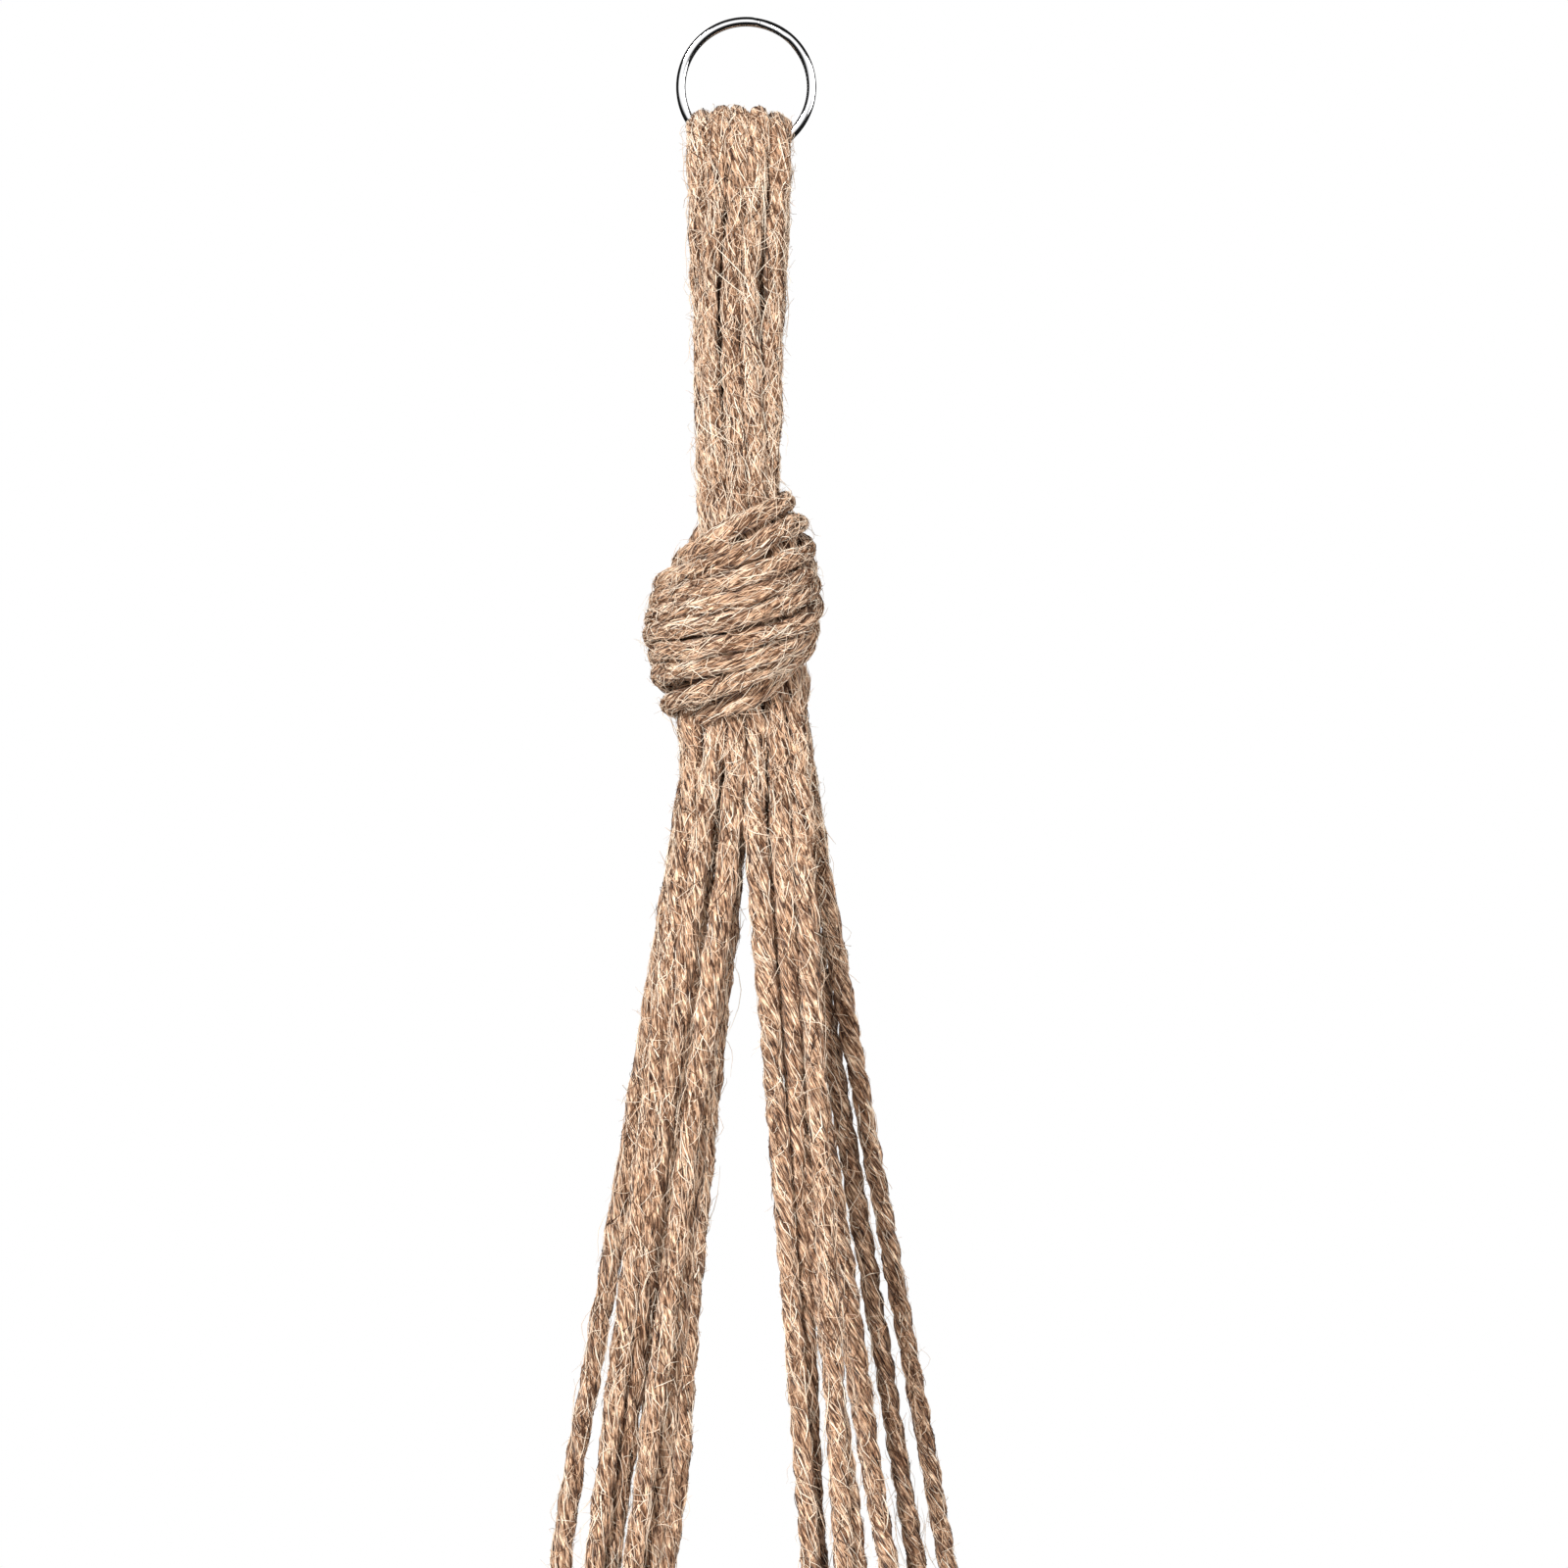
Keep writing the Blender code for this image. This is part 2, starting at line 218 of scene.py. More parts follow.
HALF_PITCH = 2.1  # two by two strands under a small knot stand this far from their middle

# Pulling a knot together
TOUCH = 3.9  # strands pressed together lie this far apart
NODE_STEP = 2.1  # between a strand's nodes
TAUT = 0.99  # a strand's length, as a share of its route's
STIFFNESS = 0.12  # how far a node moves to the middle of its neighbours in a turn
PULL = 0.02  # how far it moves back to its route
PINNED = 3  # nodes held at either end
SMALL_KNOT_TURNS = 160
BIG_KNOT_TURNS = 260

# Stray fibres, by kind: share of all, shortest, longest, least and most lift off the cord, most
# slant in radians, radius, and darkest tint from 0 to 1
FIBRE_KINDS = {
    "lying": (0.56, 3.0, 11.0, 0.03, 0.55, 0.5, 0.10, 0.0),
    "bunch": (0.16, 4.0, 12.0, 0.0, 0.25, 0.5, 0.14, 0.0),
    "standing": (0.19, 1.5, 6.0, 0.4, 2.4, 1.3, 0.07, 0.4),
    "loose": (0.09, 6.0, 18.0, 0.3, 2.2, 1.1, 0.07, 0.6),
}
LOOSE_REACH = 4.6  # a loose fibre stays this near to the middle of some cord
OPEN_AIR = (4.6, 2.5)  # this far out from a cord's middle, no other cord's is this near
FIBRE_TAPER = (0.5, 1.0, 1.0, 0.85, 0.65, 0.35)
MOST_FIBRES = 6200  # in one piece
FIBRES_PER_METRE = {
    "band": 7000, "top_knot": 4200, "leg": 3000, "leg_knot": 1000, "net": 1200, "tassel": 1700,
    "tassel_tips": 55000,
}
MORE_ON_FLUFFED_LEGS = 2000


# --- Curves -------------------------------------------------------------------------------------


def unit(vectors):
    return vectors / np.linalg.norm(vectors, axis=-1, keepdims=True)


def polar(radius, degrees, z=0.0):
    angle = math.radians(degrees)
    return np.array((radius * math.cos(angle), radius * math.sin(angle), z))


def arc_lengths(points):
    return np.concatenate([[0], np.cumsum(np.linalg.norm(np.diff(points, axis=0), axis=1))])


def resample(points, count):
    """That many points, evenly spaced along a polyline."""
    along = arc_lengths(points)
    want = np.linspace(0, along[-1], count)
    return np.stack([np.interp(want, along, points[:, axis]) for axis in range(3)], axis=1)


def spline(points, step=None, count=None):
    """Evenly spaced points on a smooth curve through these points."""
    points = np.asarray(points, float)
    padded = np.vstack([2 * points[0] - points[1], points, 2 * points[-1] - points[-2]])
    a, b, c, d = (padded[i : len(points) - 1 + i, None, :] for i in range(4))
    t = np.linspace(0, 1, 12, endpoint=False)[None, :, None]
    curve = 0.5 * (
        2 * b + (c - a) * t + (2 * a - 5 * b + 4 * c - d) * t**2 + (3 * b - a - 3 * c + d) * t**3
    )
    curve = np.vstack([curve.reshape(-1, 3), points[-1]])
    return resample(curve, count or max(2, round(arc_lengths(curve)[-1] / step) + 1))


def wander(along, wavelength, columns):
    """Smooth random values between about -1 and 1, one column each, along a length."""
    knots = max(4, int(along[-1] / wavelength) + 3)
    values = random.uniform(-1, 1, (knots, columns))
    place = along / max(along[-1], 1e-6) * (knots - 3)
    index = np.minimum(place.astype(int), knots - 4)
    t = (place - index)[:, None]
    a, b, c, d = (values[index + i] for i in range(4))
    return ((1 - t) ** 3 * a + (3 * t**3 - 6 * t**2 + 4) * b) / 6 + (
        (-3 * t**3 + 3 * t**2 + 3 * t + 1) * c + t**3 * d
    ) / 6


# --- Knots --------------------------------------------------------------------------------------


def slots(count):
    """A strand's layer (0 is the outside) and row (0 is the top, 1 the bottom) in a knot's wrap."""
    outer = count if count < 8 else (count + 2) // 2
    places = [(0, row / (outer - 1)) for row in range(outer)]
    inner = count - outer
    places += [(1, (row + 1) / (inner + 1)) for row in range(inner)]
    return places, outer


def in_order(offsets, outer, forward, across):
    """Strands by slot: the outer layer takes the forward ones, and each layer runs across."""
    by_depth = sorted(range(len(offsets)), key=lambda i: offsets[i][1] * forward)
    layers = (by_depth[:outer], by_depth[outer:])
    return [i for layer in layers for i in sorted(layer, key=lambda i: offsets[i][0] * across)]


def wrap_points(shape, radius, height, layer, row):
    """A strand's way round the knot, from where it leaves the core to where it goes back in."""
    turned, wide, middle, tall = (np.array(values) for values in zip(*shape))
    steps = np.arange(turned[0], turned[-1] + 1, 12.0)
    spread = np.interp(steps, turned, tall)
    barrel = 1 - BARREL_NARROWING[row > 0.5] * abs(2 * row - 1) ** BARREL_ROUNDNESS
    r = radius * np.interp(steps, turned, wide) * barrel - layer * LAYER_DEPTH
    z = height * (np.interp(steps, turned, middle) + spread * (0.5 - row))
    angle = np.radians(steps)
    return np.stack([-r * np.sin(angle), r * np.cos(angle), z], axis=1)


def overhand(shape, radius, height, entries, exits, lead, tails=None):
    """Strand routes through a knot, from its own top at z 0, one for each (x, y) entry.

    A tail is where the strand from an exit goes on to. Without one it goes straight down. Returns
    the routes and, for each, the number of the exit that it takes.
    """
    places, outer = slots(len(entries))
    going_in = in_order(entries, outer, 1, -1)
    going_out = in_order(exits, outer, -1, 1)
    routes = [None] * len(entries)
    takes = [None] * len(entries)
    core = 0.22 * radius
    for (layer, row), entry, out in zip(places, going_in, going_out):
        ex, ey = entries[entry]
        ox, oy = exits[out]
        wrap = wrap_points(shape, radius, height, layer, row)
        down = [
            (ex, ey, lead),
            (ex, ey, 0),
            (0.8 * ex + core, 0.7 * ey - core, -0.3 * height),
            (0.6 * ex + 1.4 * core, 0.6 * ey - 0.6 * core, -0.55 * height),
        ]
        tuck = [
            (0.6 * ox - 0.8 * core, 0.6 * oy + core, wrap[-1][2] - 0.16 * height),
            (0.7 * ox - 0.6 * core, 0.7 * oy + 0.6 * core, -0.72 * height),
            (ox, oy, -height),
            (ox, oy, -height - lead) if tails is None else tails[out],
        ]
        wrap += wander(arc_lengths(wrap), 14.0, 3) * WRAP_WANDER
        routes[entry] = np.vstack([down, wrap, tuck])
        takes[entry] = out
    count = int(max(arc_lengths(route)[-1] for route in routes) / NODE_STEP)
    return np.stack([spline(route, count=count) for route in routes]), takes


def touching(nodes, strand, reach):
    """Pairs of nodes within reach of each other, leaving out neighbours on one strand."""
    square = (nodes**2).sum(axis=1)
    apart = square[:, None] + square[None, :] - 2 * nodes @ nodes.T
    i, j = np.nonzero(np.triu(apart < reach**2, 1))
    keep = (strand[i] != strand[j]) | (j - i > 4)
    return i[keep], j[keep]


def pull_together(routes, turns):
    """Moves the strands apart until they only touch, while they stay near their routes."""
    x = routes.copy()
    strands, count, _ = x.shape
    strand = np.repeat(np.arange(strands), count)
    rest = np.linalg.norm(np.diff(routes, axis=1), axis=2, keepdims=True) * TAUT
    total = strands * count
    for turn in range(turns):
        flat = x.reshape(-1, 3)
        if turn % 8 == 0:
            i, j = touching(flat.astype(np.float32), strand, TOUCH * 1.5)
        way = flat[j] - flat[i]
        apart = np.linalg.norm(way, axis=1, keepdims=True) + 1e-6
        push = way / apart * np.maximum(TOUCH - apart, 0) * 0.5
        hit = (apart[:, 0] < TOUCH).astype(float)
        met = np.bincount(i, hit, total) + np.bincount(j, hit, total)
        share = 1.3 / np.maximum(met, 1.3)
        for axis in range(3):
            move = np.bincount(j, push[:, axis], total) - np.bincount(i, push[:, axis], total)
            flat[:, axis] += move * share
        x = flat.reshape(strands, count, 3)
        x[:, 1:-1] += STIFFNESS * ((x[:, :-2] + x[:, 2:]) / 2 - x[:, 1:-1])
        for start in (0, 1):
            ends = x[:, start:-1:2], x[:, start + 1 :: 2]
            size = min(ends[0].shape[1], ends[1].shape[1])
            step = ends[1][:, :size] - ends[0][:, :size]
            length = np.linalg.norm(step, axis=2, keepdims=True)
            fix = step * (0.25 * (length - rest[:, start::2][:, :size]) / length)
            ends[0][:, :size] += fix
            ends[1][:, :size] -= fix
        x += PULL * (routes - x)
        x[:, :PINNED] = routes[:, :PINNED]
        x[:, -PINNED:] = routes[:, -PINNED:]
    return x


def turned_to(points, azimuth, origin):
    """Local points, whose front is -Y, with that front turned to face an azimuth."""
    angle = math.radians(azimuth + 90)
    c, s = math.cos(angle), math.sin(angle)
    turn = np.array(((c, s, 0), (-s, c, 0), (0, 0, 1)))
    return points @ turn + np.asarray(origin)


# --- The sixteen strands ------------------------------------------------------------------------


def band_route(cord, side):
    """From the top of the fold down to the neck. side is -1 in front and 1 behind."""
    (fold_x, fold_r, rise), (mid_x, mid_y), (neck_x, neck_y) = cord
    arch = [
        (fold_x, side * fold_r * math.sin(a), SWING_Z + rise * math.cos(a))
        for a in np.radians((0, 22.5, 45, 67.5, 90))
    ]
    shift = 0.0 if side < 0 else random.uniform(-0.7, 0.7)
    return [
        *arch,
        (fold_x * 0.8 + mid_x * 0.2 + shift * 0.4, side * (fold_r * 0.85 + mid_y * 0.15), -38),
        (mid_x + shift, side * (0.35 * fold_r + 0.65 * mid_y), -58),
        (mid_x * 0.65 + neck_x * 0.35 + shift, side * (0.8 * mid_y + 0.2 * neck_y), -80),
        (neck_x, side * neck_y, -98),
        (neck_x, side * neck_y, KNOT_TOP_Z),
    ]


def leg_slots():
    """(leg, place under the top knot, place half way, side of the leg knot) for each strand."""
    return [(leg, *strand) for leg, strands in LEG_STRANDS.items() for strand in strands]


def small_knot_offsets():
    """The four places where strands enter or leave a small knot: (along its turn, outwards)."""
    return [(along * HALF_PITCH, out * HALF_PITCH) for along in (-1, 1) for out in (-1, 1)]


def small_knot(azimuth, origin):
    """Routes through a four-strand knot, and the number of the exit that each takes."""
    offsets = [(along, -out) for along, out in small_knot_offsets()]
    routes, takes = overhand(SMALL_KNOT_SHAPE, SMALL_KNOT_R, SMALL_KNOT_H, offsets, offsets, 4.0)
    routes = pull_together(routes, SMALL_KNOT_TURNS)
    return turned_to(routes, azimuth, origin), takes


def tassel_places():
    """Sixteen places in two circles, for the strands that leave the gather knot."""
    inner = [polar(3.7, 72 * i)[:2] for i in range(5)]
    outer = [polar(8.0, 360 / 11 * i + 12)[:2] for i in range(11)]
    return [tuple(place) for place in inner + outer]


def neighbours():
    """Each leg with the one that follows it, and the azimuth of the net knot between them."""
    legs = list(LEG_AZIMUTH.items())
    found = []
    for i, (leg, azimuth) in enumerate(legs):
        following, next_azimuth = legs[(i + 1) % len(legs)]
        found.append((leg, following, azimuth + ((next_azimuth - azimuth) % 360) / 2))
    return found


class Strand:
    """One strand's stretches, each a name and its points, from the fold down.

    Also its leg, its side of the leg knot's lower end, as (along the leg's turn, outwards), and its
    bundle: the azimuth of its net knot with its side of that knot's lower end.
    """

    def __init__(self):
        self.stretches = []
        self.leg = None
        self.side = None
        self.bundle = None

    def add(self, name, points):
        self.stretches.append((name, np.asarray(points, float)))

    def last(self):
        return self.stretches[-1][1][-1]

    def centre_line(self):
        """Points a ring step apart, with the name of the stretch that each belongs to."""
        names = [name for name, stretch in self.stretches for _ in stretch[1:]]
        rest = [stretch[1:] for _, stretch in self.stretches[1:]]
        joined = np.vstack([self.stretches[0][1], *rest])
        for _ in range(2):
            joined[1:-1] += 0.25 * (joined[:-2] + joined[2:] - 2 * joined[1:-1])
        along = arc_lengths(joined)
        count = round(along[-1] / RING_STEP) + 1
        line = spline(joined, count=count)
        which = np.interp(np.linspace(0, along[-1], count), along[1:], np.arange(len(names)))
        return line, np.array(names)[np.rint(which).astype(int)]


def parting_place(start, mid):
    """Where a strand is when the two sides part, measured from the top knot's own top.

    The strands next to the parting are still drawn to the middle there.
    """
    down = PARTING / (KNOT_BOTTOM_Z - LEG_MID_Z)
    x, y = (a + (b - a) * down for a, b in zip(start, mid))
    if abs(start[0]) < 3:
        x -= math.copysign(1.8, x)
    elif abs(start[0]) < 8 and start[1] == 0:
        x -= math.copysign(2.2, x)
    return (x - NECK_X, y, KNOT_BOTTOM_Z - PARTING - KNOT_TOP_Z)


def make_top(strands, ends):
    """Band and top knot. Returns each strand's place in the order of leg_slots."""
    for strand, (cord, side) in zip(strands, ends):
        route = spline(band_route(cord, side), step=6.0)
        slack = np.clip((SWING_Z - route[:, 2]) / 12, 0, 1)
        slack *= np.clip((route[:, 2] - KNOT_TOP_Z) / 10, 0, 1)
        route[:, :2] += wander(arc_lengths(route), 16.0, 2) * slack[:, None] * (0.6, 0.7)
        strand.add("band", route)
    entries = [tuple(strand.last()[:2] - (NECK_X, 0)) for strand in strands]
    exits = [(x - NECK_X, y) for _, (x, y), _, _ in leg_slots()]
    height = KNOT_TOP_Z - KNOT_BOTTOM_Z
    tails = [parting_place(start, mid) for _, start, mid, _ in leg_slots()]
    routes, takes = overhand(TOP_KNOT_SHAPE, TOP_KNOT_R, height, entries, exits, 5.0, tails)
    routes = pull_together(routes, BIG_KNOT_TURNS) + (NECK_X, 0, KNOT_TOP_Z)
    for strand, route in zip(strands, routes):
        strand.stretches[-1] = ("band", strand.stretches[-1][1][:-1])
        strand.add("top_knot", route)
    return takes


def make_legs(strands, takes):
    """Legs and leg knots."""
    for leg, azimuth in LEG_AZIMUTH.items():
        origin = polar(LEG_KNOT_R, azimuth, LEG_KNOT_TOP_Z)
        routes, goes_to = small_knot(azimuth, origin)
        offsets = small_knot_offsets()
        for strand, place in zip(strands, takes):
            name, _, mid, side = leg_slots()[place]
            if name != leg:
                continue
            entry = offsets.index((side[0] * HALF_PITCH, side[1] * HALF_PITCH))
            route = routes[entry]
            start = strand.last()
            down = np.array((*mid, LEG_MID_Z)) - start
            straight = [start + down * share for share in (0, 0.12, 0.45, 0.78, 1)]
            leg_points = spline([*straight, route[0] + (0, 0, 3), route[0]], step=12.0)
            leg_points[1:-1, :2] += wander(arc_lengths(leg_points), 60.0, 2)[1:-1] * 0.5
            strand.add(f"leg_{leg}", leg_points)
            strand.add(f"leg_{leg}_knot", route)
            strand.side = offsets[goes_to[entry]]
            strand.leg = leg


def make_net(strands):
    """The pairs of the net, each from two neighbouring legs, and the net knots."""
    offsets = small_knot_offsets()
    for leg, following, middle in neighbours():
        name = f"net_{leg}_to_{following}"
        routes, goes_to = small_knot(middle, polar(NET_KNOT_R, middle, NET_KNOT_TOP_Z))
        for strand in strands:
            after = strand.leg == leg and strand.side[0] > 0
            before = strand.leg == following and strand.side[0] < 0
            if not (after or before):
                continue
            along = -HALF_PITCH if after else HALF_PITCH
            entry = offsets.index((along, strand.side[1]))
            route = routes[entry]
            start = strand.last()
            half = (start + route[0]) / 2
            half[:2] *= 1.0 + 0.05 * (strand.side[1] > 0)
            points = spline([start, start - (0, 0, 5), half, route[0] + (0, 0, 4), route[0]], step=6.0)
            strand.add(name, points)
            strand.add(f"{name}_knot", route)
            strand.bundle = (middle, offsets[goes_to[entry]])


def cradle_name(middle):
    """The name of the cradle stretch under the net knot at this azimuth."""
    return f"cradle_{round(middle)}"


def make_cradle(strands):
    """Four bundles in under the pot. Returns where the strands go into the gather knot."""
    top_z = NET_KNOT_TOP_Z - SMALL_KNOT_H
    entries = []
    for strand in strands:
        middle, (along, out) = strand.bundle
        across = polar(along, middle + 90)
        outwards = polar(1, middle)
        points = []
        for inwards, down in CRADLE:
            lean = min(max((down - 28) / 50, 0), 1)  # a strand on the outside ends up underneath
            points.append(
                polar(NET_KNOT_R - inwards, middle, top_z - down)
                + across * (1 - 0.15 * lean)
                + outwards * (out * (1 - lean))
                - np.array((0, 0, out * lean))
            )
        strand.add(cradle_name(middle), spline(points, step=6.0))
        reach = 5.8 + math.copysign(2.9, out) * 0.75
        place = polar(reach, middle) + across * 0.85
        entries.append(tuple(place[:2]))
    return entries


def make_gather(strands, entries):
    """The gather knot and the tassel."""
    exits = tassel_places()
    height = GATHER_TOP_Z - GATHER_BOTTOM_Z
    routes, takes = overhand(SMALL_KNOT_SHAPE, GATHER_KNOT_R, height, entries, exits, 4.0)
    routes = pull_together(routes, BIG_KNOT_TURNS) + (0, 0, GATHER_TOP_Z)
    for strand, route, place in zip(strands, routes, takes):
        strand.add("gather_knot", route[2:-2])
        x, y = exits[place]
        length = TASSEL_LENGTH - TASSEL_STAGGER * (place % 3)
        spread = random.uniform(0.25, 0.65)
        u = np.linspace(0.08, 1, 13)[:, None]
        points = np.hstack([(x, y) * (1 + spread * u * u), GATHER_BOTTOM_Z - length * u])
        points[:, :2] += wander(arc_lengths(points), 45.0, 2) * np.linspace(0, 2.2, 13)[:, None]
        strand.add("tassel", np.vstack([route[-3:], points]))


def make_strands():
    ends = [(cord, side) for cord in BAND_CORDS for side in (-1, 1)]
    strands = [Strand() for _ in ends]
    takes = make_top(strands, ends)
    make_legs(strands, takes)
    make_net(strands)
    make_gather(strands, make_cradle(strands))
    return strands


# --- Cord meshes --------------------------------------------------------------------------------


class Line:
    """A cord's centre line with its frame, lay and ply sizes at every ring."""

    def __init__(self, points, names, number):
        self.points = points
        self.names = names
        self.number = number
        self.along = arc_lengths(points)
        self.tangent = unit(np.gradient(points, axis=0))
        self.normal = self.carried_normals()
        self.binormal = np.cross(self.tangent, self.normal)
        self.fluffed = self.smoothed_fluff()
        lay = LAY * (1 + self.varied(LAY_VARIES)[:, 0] + FLUFFED_LAY * self.fluffed)
        turned = np.concatenate([[0], np.cumsum(np.diff(self.along) / lay[1:])])
        self.phase = -2 * math.pi * turned + random.uniform(0, 2 * math.pi)
        self.thick = 1 + self.varied(THICKNESS_VARIES)[:, 0] + FLUFFED_THICKNESS * self.fluffed
        self.thick += np.interp(points[:, 2], *zip(*SWELL))
        self.plies = 1 + self.varied(PLIES_VARY, 3, FLUFFED_PLIES)
        self.ridges = self.varied(RIDGES, SIDES, RIDGES[0] * FLUFFED_RIDGES)

    def varied(self, how, columns=1, more_if_fluffed=0.0):
        """Smooth random changes along the line, one column each."""
        share, wavelength = how
        size = share + more_if_fluffed * self.fluffed[:, None]
        return size * wander(self.along, wavelength, columns)

    def smoothed_fluff(self):
        """How far the cord has fluffed up, from 0 to 1, easing from stretch to stretch."""
        raw = np.array([FLUFFED.get(name, FLUFFED_ELSEWHERE) for name in self.names])
        raw = np.maximum(raw, np.interp(self.points[:, 2], *zip(*FLUFFED_BELOW_KNOT)))
        window = np.hanning(2 * FLUFF_EASING + 1)
        padded = np.pad(raw, FLUFF_EASING, mode="edge")
        return np.convolve(padded, window / window.sum(), mode="valid")

    def carried_normals(self):
        """Normals that turn no more than the line does."""
        normals = np.empty_like(self.points)
        first = np.cross(self.tangent[0], (0.1, 0.3, 1.0))
        normals[0] = first / np.linalg.norm(first)
        for i in range(1, len(normals)):
            turned = normals[i - 1] - self.tangent[i] * (normals[i - 1] @ self.tangent[i])
            normals[i] = turned / math.sqrt(turned @ turned)
        return normals

    def section(self, rings, around):
        """The cord's radius at an angle from its first ply."""
        lobe = np.mod(around + math.pi / 3, 2 * math.pi / 3) - math.pi / 3
        ply = np.mod(np.floor((around + math.pi / 3) / (2 * math.pi / 3)), 3).astype(int)
        flatter = FLUFFED_ROUNDING * self.fluffed[rings]
        size = self.plies[rings, ply] * self.thick[rings] * (PLY_R + flatter)
        offset = PLY_OFFSET - flatter
        inside = np.maximum(size**2 - (offset * np.sin(lobe)) ** 2, 0.05)
        side = np.rint(around / (2 * math.pi) * SIDES).astype(int) % SIDES
        return offset * self.thick[rings] * np.cos(lobe) + np.sqrt(inside) + self.ridges[rings, side]

    def surface(self, rings, around, height=0.0):
        """Points on the cord, at an angle from its first ply and a height over its surface."""
        r = self.section(rings, around) + height
        angle = around + self.phase[rings]
        side = np.cos(angle)[..., None] * self.normal[rings]
        side += np.sin(angle)[..., None] * self.binormal[rings]
        return self.points[rings] + side * r[..., None], side


def tube_quads(rings, sides, first):
    grid = first + np.arange(rings * sides).reshape(rings, sides)
    here, ahead = grid[:-1], grid[1:]
    quads = [here, np.roll(here, -1, axis=1), np.roll(ahead, -1, axis=1), ahead]
    return np.stack(quads, axis=-1).reshape(-1, 4)


def make_mesh(name, points, quads, caps, material, values):
    """A smooth mesh in metres. values are its point attributes, vectors or single numbers."""
    mesh = bpy.data.meshes.new(name)
    mesh.vertices.add(len(points))
    mesh.vertices.foreach_set("co", (points * MM).astype(np.float32).ravel())
    sizes = np.concatenate([np.full(len(quads), 4), np.full(len(caps), caps.shape[1])])
    corners = np.concatenate([quads.ravel(), caps.ravel()]).astype(np.int32)
    mesh.loops.add(len(corners))
    mesh.loops.foreach_set("vertex_index", corners)
    mesh.polygons.add(len(sizes))
    starts = np.concatenate([[0], np.cumsum(sizes)[:-1]]).astype(np.int32)
    mesh.polygons.foreach_set("loop_start", starts)
    mesh.polygons.foreach_set("loop_total", sizes.astype(np.int32))
    mesh.polygons.foreach_set("use_smooth", np.ones(len(sizes), bool))
    for key, data in values.items():
        kind, field = ("FLOAT_VECTOR", "vector") if data.ndim == 2 else ("FLOAT", "value")
        attribute = mesh.attributes.new(key, kind, "POINT")
        attribute.data.foreach_set(field, data.astype(np.float32).ravel())
    mesh.update(calc_edges=True)
    mesh.materials.append(material)
    obj = bpy.data.objects.new(name, mesh)
    bpy.context.scene.collection.objects.link(obj)
    return obj


def runs(mask):
    """The first and last index of each unbroken run in a mask."""
    edges = np.flatnonzero(np.diff(np.concatenate([[0], mask.astype(int), [0]])))
    return [(start, stop - 1) for start, stop in zip(edges[::2], edges[1::2])]


def cord_mesh(name, spans, material):
    """One piece of closed cord lengths. Each span is (line, first ring, last ring)."""
    points, fibres, cleft_shades, quads, caps = [], [], [], [], []
    first = 0
    for line, start, stop in spans:
        rings = np.arange(start, stop + 1)[:, None] * np.ones(SIDES, int)
        around = np.ones(rings.shape) * (2 * math.pi / SIDES * np.arange(SIDES))
        surface, _ = line.surface(rings, around)
        laid = around + SKEW * line.phase[rings]
        along = line.along[rings] + 400.0 * line.number
        fibres.append(
            np.stack([CORD_R * np.cos(laid), CORD_R * np.sin(laid), along], axis=-1).reshape(-1, 3)
        )
        # How deep each point lies in the cleft between plies, larger the deeper it is; the jute
        # material darkens the colour by it as painted shade in the clefts
        depth = line.section(rings, around)
        cleft_shades.append(((CORD_R - depth) / (CORD_R - 1.2)).reshape(-1))
        points.append(surface.reshape(-1, 3))
        count = stop - start + 1
        quads.append(tube_quads(count, SIDES, first))
        ring = first + np.arange(SIDES)
        caps += [ring[::-1], ring + (count - 1) * SIDES]
        first += count * SIDES
    values = {"fibre": np.vstack(fibres), "cleft_shade": np.concatenate(cleft_shades)}
    return make_mesh(
        name, np.vstack(points), np.vstack(quads), np.array(caps), material, values
    )


# --- Stray fibres -------------------------------------------------------------------------------


class Exposure:
    """Tells which places on the cords face open air."""

    def __init__(self, lines):
        nodes = np.vstack([line.points[::2] for line in lines])
        self.tree = KDTree(len(nodes))
        for index, point in enumerate(nodes):
            self.tree.insert(point, index)
        self.tree.balance()

    def is_open(self, centre, side):
        """True if no other cord lies outside this side of a cord."""
        out, room = OPEN_AIR
        return self.tree.find(centre + side * out)[2] > room

    def is_near(self, points, reach):
        """True if each point is within reach of the middle of some cord."""
        return all(self.tree.find(point)[2] < reach for point in points[1:])


def fibre_curve(span, draw, kind, u, exposure):
    """One stray fibre's points, at shares u of its length, or None if it has no room."""
    line, start, stop = span
    _, shortest, longest, low, high, most_slant, *_ = FIBRE_KINDS[kind]
    along, turn, size, rise, lean, way, curl, _ = draw
    base = start + along * (stop - start)
    ring = int(base)
    around = turn * 2 * math.pi
    angle = around + line.phase[ring]
    side = math.cos(angle) * line.normal[ring] + math.sin(angle) * line.binormal[ring]
    if not exposure.is_open(line.points[ring], side):
        return None
    length = shortest + (longest - shortest) * size**1.6
    lift = low + (high - low) * rise**2
    slant = (2 * lean - 1) * most_slant + (curl - 0.5) * 1.6 * u
    heading = 1 if way > 0.5 else -1
    travel = length * u * np.cos(slant) * heading
    swing = length * u * np.sin(slant)
    height = 0.03 + lift * u**1.5
    if kind == "loose":
        root, _ = line.surface(np.array([ring]), np.array([around]), height[:1])
        across = np.cross(line.tangent[ring], side)
        bow = lift * np.sin(math.pi * np.minimum(u * 1.3, 1))
        curve = root + travel[:, None] * line.tangent[ring] + swing[:, None] * across
        curve += (0.3 * height + bow)[:, None] * side
        return curve if exposure.is_near(curve, LOOSE_REACH) else None
    rings = np.clip(np.rint(base + travel / RING_STEP), start, stop).astype(int)
    turned = around + swing / CORD_R - (line.phase[rings] - line.phase[ring]) * 0.35
    curve, _ = line.surface(rings, turned, height)
    return curve + line.tangent[rings] * (base + travel / RING_STEP - rings)[:, None] * RING_STEP


